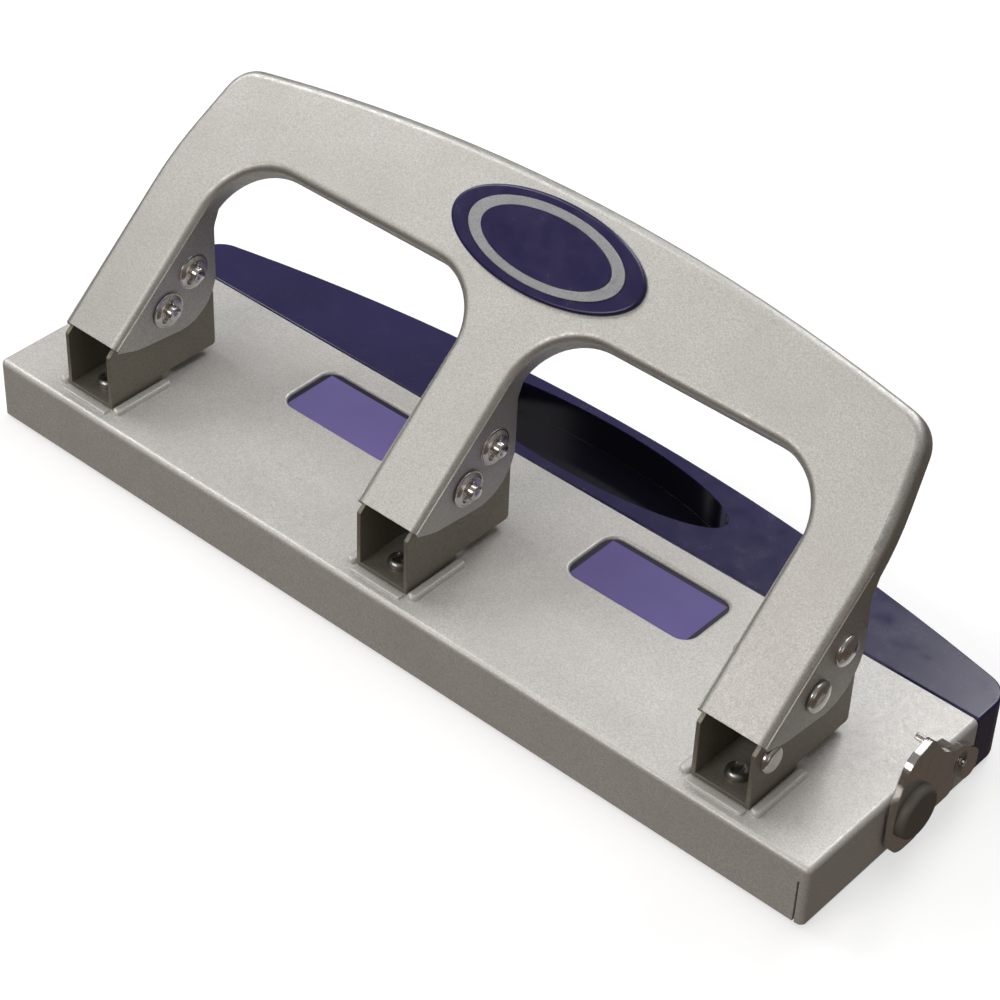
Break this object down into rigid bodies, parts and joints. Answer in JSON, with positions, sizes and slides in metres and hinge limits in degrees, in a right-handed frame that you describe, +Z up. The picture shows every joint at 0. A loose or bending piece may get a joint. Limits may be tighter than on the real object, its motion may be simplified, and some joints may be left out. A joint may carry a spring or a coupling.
{
  "type": "three hole punch",
  "caption": "Desk paper punch: wide levered handle drives a row of spring-returned punches through a slot above a flat base, with a rear chip drawer and an end latch.",
  "frame": {"origin": "centre of the bounding box's footprint, on the surface the punch stands on", "axes": "+X to the right along the row of punches, +Y to the rear where the drawer comes out, +Z up"},
  "size_m": [0.2822, 0.098, 0.1005],
  "materials": {
    "silver_paint": "fine metallic silver paint",
    "bracket_paint": "satin grey-brown metallic",
    "dark_sheet": "dull dark coating",
    "zinc": "zinc plated",
    "bright_steel": "bright nickel plate",
    "punch_steel": "ground tool steel",
    "spring_steel": "drawn spring wire",
    "chrome": "polished chrome",
    "navy_plastic": "glossy moulded plastic",
    "knob_plastic": "satin moulded plastic",
    "violet_lens": "tinted clear plastic window",
    "foot_rubber": "dull moulded rubber"
  },
  "bodies": {
    "base": {"base_shell": "silver_paint", "floor_plate": "dark_sheet", "floor_posts": "zinc", "floor_screws": "zinc", "rubber_feet": "foot_rubber", "window_left": "violet_lens", "window_right": "violet_lens", "drawer_rails": "dark_sheet", "bracket_left": "bracket_paint", "bracket_middle": "bracket_paint", "bracket_right": "bracket_paint", "return_spring_left": "spring_steel", "return_spring_middle": "spring_steel", "return_spring_right": "spring_steel", "guide_bushes": "zinc", "die_bushes": "zinc", "bracket_screws": "zinc", "bracket_nuts": "zinc", "pivot_pins": "bright_steel", "pivot_washers": "bright_steel", "stop_rivet": "bright_steel", "latch_washer": "zinc", "latch_stud": "bright_steel"},
    "handle": {"handle_plate": "silver_paint", "badge_plate": "navy_plastic", "badge_ring": "bright_steel", "badge_centre": "navy_plastic", "drive_pins": "bright_steel", "drive_washers": "bright_steel"},
    "left_punch": {"punch_left": "punch_steel", "punch_washer_left": "zinc"},
    "middle_punch": {"punch_middle": "punch_steel", "punch_washer_middle": "zinc"},
    "right_punch": {"punch_right": "punch_steel", "punch_washer_right": "zinc"},
    "drawer": {"chip_drawer": "navy_plastic"},
    "latch": {"latch_lever": "chrome", "latch_knob": "knob_plastic", "latch_pivot": "bright_steel"}
  },
  "joints": [
    {"name": "handle_press", "type": "hinge", "parent": "base", "child": "handle", "pos_m": [0, -0.023, 0.0429], "axis": [-1, 0, 0], "range_deg": [0, 38], "stiffness_Nm_per_rad": 0.6, "springref_deg": -28.65},
    {"name": "left_stroke", "type": "slide", "parent": "base", "child": "left_punch", "axis": [0, 0, -1], "range_m": [0, 0.0077], "deforming": ["return_spring_left"]},
    {"name": "middle_stroke", "type": "slide", "parent": "base", "child": "middle_punch", "axis": [0, 0, -1], "range_m": [0, 0.0077], "deforming": ["return_spring_middle"]},
    {"name": "right_stroke", "type": "slide", "parent": "base", "child": "right_punch", "axis": [0, 0, -1], "range_m": [0, 0.0077], "deforming": ["return_spring_right"]},
    {"name": "drawer_slide", "type": "slide", "parent": "base", "child": "drawer", "axis": [0, 1, 0], "range_m": [0, 0.055]},
    {"name": "latch_swing", "type": "hinge", "parent": "base", "child": "latch", "pos_m": [0.1358, -0.0115, 0.0136], "axis": [1, 0, 0], "range_deg": [0, 35]}
  ],
  "couplings": [
    {"joint": "left_stroke", "follows": "handle_press", "m_per_rad": 0.01146},
    {"joint": "middle_stroke", "follows": "handle_press", "m_per_rad": 0.01146},
    {"joint": "right_stroke", "follows": "handle_press", "m_per_rad": 0.01146}
  ]
}
